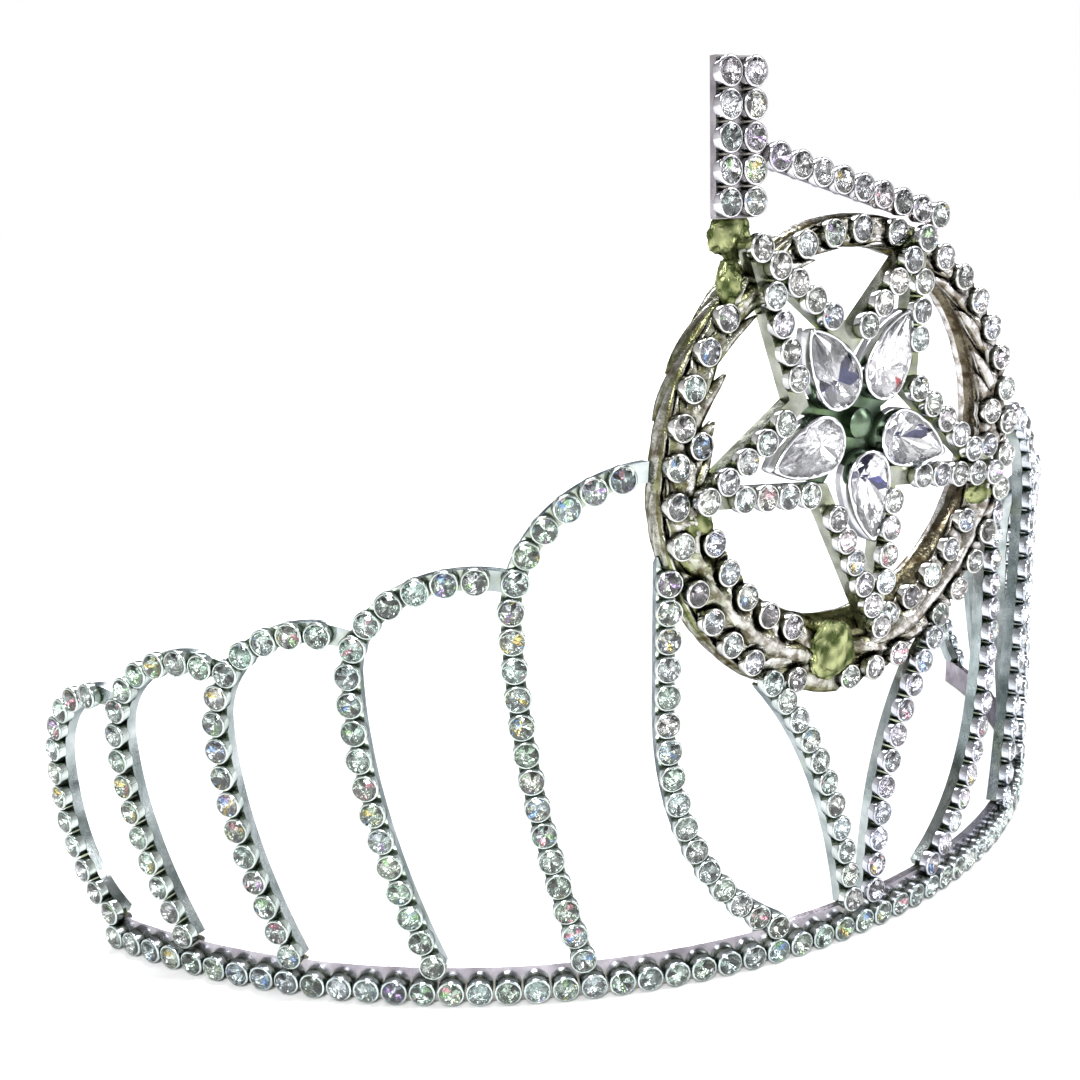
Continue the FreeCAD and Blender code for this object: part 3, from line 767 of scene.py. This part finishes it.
def side_leaf(pile, bearing, way, length, chance):
    """A leaf that lies on the ring's outer side, its tip towards the front."""
    along, across = 10, 6
    outer, inner, shades = [], [], []
    low = chance.uniform(0.2, 0.5)
    high = chance.uniform(0.55, 0.85)
    for i in range(along + 1):
        share = i / along
        here = bearing + way * share * length / RING_RADIUS
        middle = RING_BACK - (RING_BACK - RING_Y) * (low + (high - low) * share)
        half = 1.25 * max(0.03, math.sin(math.pi * (0.05 + 0.95 * share) ** 0.8)) ** 0.8
        for k in range(across + 1):
            q = 2 * k / across - 1
            y = min(max(middle + q * half, RING_Y - 0.3), RING_BACK)
            swell = 0.55 * arch(q, share)
            reach = RING_RADIUS - 0.75 + 0.25 * share + swell
            for shell, depth in ((outer, 0.0), (inner, SIDE_LEAF_DEPTH)):
                shell.append(ring_point(here, reach - depth, RING_Y - y))
            shades.append((q, share, here))
    add_shell(pile, outer, inner, shades, along, across, chance)


def side_leaves(pile):
    """One row on the ring's outer side, climbing both ways."""
    chance = random.Random(11)
    for way in (1, -1):
        climbed = 0.5
        while climbed < SIDE_LEAF_CLIMB:
            bearing = -math.pi / 2 + way * climbed / RING_RADIUS
            side_leaf(pile, bearing, way, chance.uniform(8.0, 12.0), chance)
            climbed += chance.uniform(3.4, 5.2)


wreath = Pile()
ring_body(wreath)
leaves(wreath)
side_leaves(wreath)
long_leaves(wreath)
made = wreath.make("wreath_leaves", [CAST])
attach(made, "root")
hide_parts("wreath_ring")


# ---------------------------------------------------------------- pear stones
def pear_outline(share):
    """A half round and two long arcs that meet in the tip, tip at share 0."""
    radius = PEAR_RADIUS
    side = (PEAR_TIP * PEAR_TIP + radius * radius) / (2 * radius)
    half = math.asin(PEAR_TIP / side)
    arc = side * half
    total = 2 * arc + math.pi * radius
    walked = (share % 1.0) * total
    sign = 1.0
    if walked > total / 2:
        walked, sign = total - walked, -1.0
    if walked < arc:
        angle = half - walked / side
        across = radius - side + side * math.cos(angle)
        along = side * math.sin(angle)
    else:
        angle = (walked - arc) / radius
        across = radius * math.cos(angle)
        along = -radius * math.sin(angle)
    return sign * across, along


PEAR_LEVELS = ((0.58, 3.0), (0.80, 2.62), 2.05, 1.85, (0.52, 0.9), 0.3)
PEAR = brilliant(pear_outline, 8, PEAR_LEVELS)
# painted reflection tones of the pear's foil facets, with painted navy reflections and painted red
# flashes
PEAR_PAINTED_TONES = (1.0, 1.0, 1.0, 1.0, 0.95, 0.82, 0.5)
PAINTED_NAVY = (0.012, 0.014, 0.09)
PAINTED_RED = (0.42, 0.03, 0.05)
NAVY_FACETS = (0, 3, 1, 3, 2)  # for each pear in turn
RED_FACETS = (2, 0, 0, 1, 0)


def pear_matrix(bearing):
    """Rows that take (across, along, out) to the rosette, and the pear's centre."""
    angle = math.radians(bearing)
    along = np.array((math.cos(angle), 0.0, math.sin(angle)))
    across = np.array((math.sin(angle), 0.0, -math.cos(angle)))
    out = np.array((0.0, -1.0, 0.0))
    centre = np.array((PEAR_REACH * along[0], RING_Y, ROSETTE_HEIGHT + PEAR_REACH * along[2]))
    return np.array((across, along, out)), centre


def pear_colours(number, chance):
    """White and lavender painted reflection tones on the foil, with a few facets of painted navy
    reflection and painted red flash.
    """
    points, faces, kinds = PEAR
    navy, red = NAVY_FACETS[number], RED_FACETS[number]
    order = list(range(len(faces)))
    chance.shuffle(order)
    colours = {}
    for i in order:
        middle = np.mean([points[j] for j in faces[i]], axis=0)
        if kinds[i] != "pavilion":
            colours[i] = (0.97, 0.97, 1.0)
            continue
        tone = chance.choice(PEAR_PAINTED_TONES)
        colours[i] = [tone * c for c in (0.98, 0.97, 1.0)]
        near = middle[1] < 1.0 if number == 3 else -1.5 < middle[1] < 2.5
        if near and navy:
            navy -= 1
            colours[i] = PAINTED_NAVY
        elif near and red:
            red -= 1
            colours[i] = PAINTED_RED
    return [colours[i] for i in range(len(faces))]


# (distance out from the pear's outline, height), up the outside and down inside
COLLET_PROFILE = (
    (0.26, 0.0), (0.28, 1.2), (0.30, 1.9), (0.25, 2.12), (0.12, 2.2),
    (-0.08, 2.16), (-0.10, 2.02), (0.02, 1.8), (0.02, 0.25),
)
COLLET_CLAWS = (0.0, 0.22, 0.42, 0.58, 0.78)  # shares of the outline's length
COLLET_COLOUR = (0.72, 0.72, 0.75)


def pear_rim(pile, rows, centre):
    """A thin collet round a pear, pressed over its edge, with claws."""
    steps = 72
    points = []
    for i in range(steps):
        share = i / steps
        x, y = pear_outline(share)
        ahead, behind = pear_outline(share + 0.004), pear_outline(share - 0.004)
        run = Vector((ahead[0] - behind[0], ahead[1] - behind[1])).normalized()
        normal = Vector((-run.y, run.x))
        if normal.dot(Vector((x, y - 0.5))) < 0:
            normal = -normal
        claw = sum(
            math.exp(-((((share - c + 0.5) % 1.0) - 0.5) / 0.018) ** 2)
            for c in COLLET_CLAWS
        )
        for offset, height in COLLET_PROFILE:
            if height > 1.7:
                offset -= 0.28 * claw * (1 if offset < 0.2 else 0)
                height += 0.10 * claw
            points.append((x + normal.x * offset, y + normal.y * offset, height))
    faces = outward_faces(points, tube_faces(steps, len(COLLET_PROFILE)))
    placed = np.array(points) @ rows + centre
    pile.add(placed, faces, [0] * len(faces), [COLLET_COLOUR] * len(faces), smooth=True)


for number, bearing in enumerate(PEAR_BEARINGS):
    chance = random.Random(40 + number)
    rows, centre = pear_matrix(bearing)
    rim = Pile()
    pear_rim(rim, rows, centre)
    made = rim.make("pear_collet_%d" % (number + 1), [CUPS])
    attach(made, "root")
    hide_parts("pear_setting_%d" % (number + 1))
    points, faces, kinds = PEAR
    stone = Pile()
    placed = points @ rows + centre
    colours = pear_colours(number, chance)
    stone.add(placed, outward_faces(placed, faces), foil_slots(kinds), colours)
    made = stone.make("pear_crystal_%d" % (number + 1), [PEAR_GLASS, PEAR_FOIL])
    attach(made, "root")
    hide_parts("pear_stone_%d" % (number + 1))


# -------------------------------------------------------------------- solder
SOLDER_DARK = (0.06, 0.08, 0.025)
SOLDER_LIGHT = (0.40, 0.43, 0.21)


def lump(pile, centre, halves, seed):
    """A blob of solder with runs and pits."""
    build = bmesh.new()
    bmesh.ops.create_icosphere(build, subdivisions=5, radius=1.0)
    points, faces = [], []
    for vert in build.verts:
        way = vert.co.normalized()
        rough = noise.noise(way * 1.5 + Vector((seed, 0, 0)))
        ridge = 1.0 - abs(noise.noise(way * 2.6 + Vector((0, seed, 0)))) * 2.0
        fine = noise.noise(way * 8.0 + Vector((0, seed, 0)))
        reach = 0.84 + 0.22 * rough + 0.12 * ridge + 0.05 * fine
        points.append([centre[a] + halves[a] * way[a] * reach for a in range(3)])
    for face in build.faces:
        faces.append(tuple(v.index for v in face.verts))
    build.free()
    colours = []
    for face in faces:
        middle = Vector(points[face[0]])
        share = 0.42 + 1.2 * noise.noise(middle * 0.9)
        colours.append(mixed_tone(share, SOLDER_DARK, SOLDER_LIGHT))
    pile.add(points, faces, [0] * len(faces), colours, smooth=True)


solder = Pile()
for number, solid in enumerate(separate_solids("solder_joints")):
    low, high = solid.min(axis=0), solid.max(axis=0)
    centre = (low + high) / 2
    lump(solder, centre, (high - low) / 2, 3.0 + number)
made = solder.make("solder_lumps", [SOLDER])
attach(made, "root")
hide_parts("solder_joints")


# ------------------------------------------- materials of the kept CAD parts
def dress(node, material):
    """Puts a material on a CAD part whose shape is kept."""
    part = NODES[node]
    if not part.material_slots:
        part.data.materials.append(material)
    for place in part.material_slots:
        place.link = "OBJECT"
        place.material = material


for side in ("left", "right"):
    for number in range(1, 6):
        dress("%s_scallop_strip_%d" % (side, number), STRIP)
    dress(side + "_ring_post", STRIP)
    dress(side + "_centre_brace", STRIP)
dress("base_band", BAND)
dress("star_frame", STAR)
dress("star_backing", BACK)
dress("rosette_boss", BACK)
dress("gavel_head_plate", GAVEL)
dress("gavel_handle_bar", GAVEL)


# --------------------------------------------------------- floor and light
FLOOR_RADIUS = 6.0  # in metres
GLOW_FROM, GLOW_TO = 0.15, 1.6


def make_floor():
    """A pale cloth that glows with distance, so that no horizon shows."""
    material, tree, shader = new_material("studio_floor")
    cloth = noise_field(tree, 3.0, 2.0)
    tone = ramp(tree, cloth.outputs["Fac"], ((0.3, (0.90, 0.90, 0.90)), (0.7, (0.93, 0.93, 0.93))))
    tree.links.new(tone.outputs["Color"], shader.inputs["Base Color"])
    shader.inputs["Roughness"].default_value = 0.9
    place = add_node(tree, "ShaderNodeTexCoord")
    reach = add_node(tree, "ShaderNodeVectorMath", operation="LENGTH")
    tree.links.new(place.outputs["Object"], reach.inputs[0])
    glow = add_node(tree, "ShaderNodeMapRange", interpolation_type="SMOOTHSTEP")
    glow.inputs["From Min"].default_value = GLOW_FROM
    glow.inputs["From Max"].default_value = GLOW_TO
    glow.inputs["To Max"].default_value = 1.0
    tree.links.new(reach.outputs["Value"], glow.inputs["Value"])
    tree.links.new(glow.outputs["Result"], shader.inputs["Emission Strength"])
    shader.inputs["Emission Color"].default_value = (1.0, 1.0, 1.0, 1.0)
    mesh = bpy.data.meshes.new("studio_floor")
    build = bmesh.new()
    bmesh.ops.create_circle(build, cap_ends=True, segments=96, radius=FLOOR_RADIUS)
    build.to_mesh(mesh)
    build.free()
    mesh.materials.append(material)
    floor = bpy.data.objects.new("studio_floor", mesh)
    bpy.context.scene.collection.objects.link(floor)


def make_world():
    """Pale at the horizon, darker overhead, so that facets have contrast."""
    world = bpy.data.worlds.new("studio")
    bpy.context.scene.world = world
    world.use_nodes = True
    tree = world.node_tree
    back = tree.nodes["Background"]
    place = add_node(tree, "ShaderNodeTexCoord")
    split = add_node(tree, "ShaderNodeSeparateXYZ")
    tree.links.new(place.outputs["Generated"], split.inputs[0])
    tone = ramp(
        tree,
        split.outputs["Z"],
        ((0.0, (1.0,) * 3), (0.20, (1.0,) * 3), (0.50, (0.42,) * 3), (1.0, (0.26,) * 3)),
    )
    tree.links.new(tone.outputs["Color"], back.inputs["Color"])
    back.inputs["Strength"].default_value = 1.0


def area_light(name, place, aim, size, power, colour=(1, 1, 1)):
    """A rectangular light; place, aim and size in metres, power in watts."""
    data = bpy.data.lights.new(name, "AREA")
    data.shape = "RECTANGLE"
    data.size, data.size_y = size
    data.energy = power
    data.color = colour
    light = bpy.data.objects.new(name, data)
    light.location = place
    way = Vector(aim) - Vector(place)
    light.rotation_euler = way.to_track_quat("-Z", "Y").to_euler()
    bpy.context.scene.collection.objects.link(light)


make_floor()
make_world()
bpy.context.scene.view_settings.view_transform = "Standard"
MIDDLE = (0.0, 0.03, 0.045)
area_light("key", (-0.75, -0.85, 0.95), MIDDLE, (0.5, 0.5), 20.0)
area_light("fill", (0.85, -0.7, 0.75), MIDDLE, (0.35, 0.7), 9.0, (0.96, 0.97, 1.0))
area_light("top", (0.1, 0.2, 1.2), MIDDLE, (0.5, 0.3), 10.0)
area_light("rim", (0.4, 1.0, 0.7), MIDDLE, (0.7, 0.3), 12.0)

camera_data = bpy.data.cameras.new("camera")
camera_data.lens = 44.81
camera_data.sensor_width = 36.0
camera_data.clip_start = 0.01
camera_data.clip_end = 50.0
camera = bpy.data.objects.new("camera", camera_data)
right, up = Vector((0.8426, -0.5374, -0.0346)), Vector((0.1615, 0.1908, 0.9683))
TURN_UP, TURN_RIGHT = 0.0037, 0.0015
ahead = Vector((0.5137, 0.8215, -0.2476)) + TURN_UP * up + TURN_RIGHT * right
ahead.normalize()
right = ahead.cross(up).normalized()
axes = Matrix((right, right.cross(ahead), -ahead)).transposed()
camera.matrix_world = Matrix.Translation((-0.10728, -0.1031, 0.0855)) @ axes.to_4x4()
bpy.context.scene.collection.objects.link(camera)
bpy.context.scene.camera = camera

bpy.context.view_layer.update()
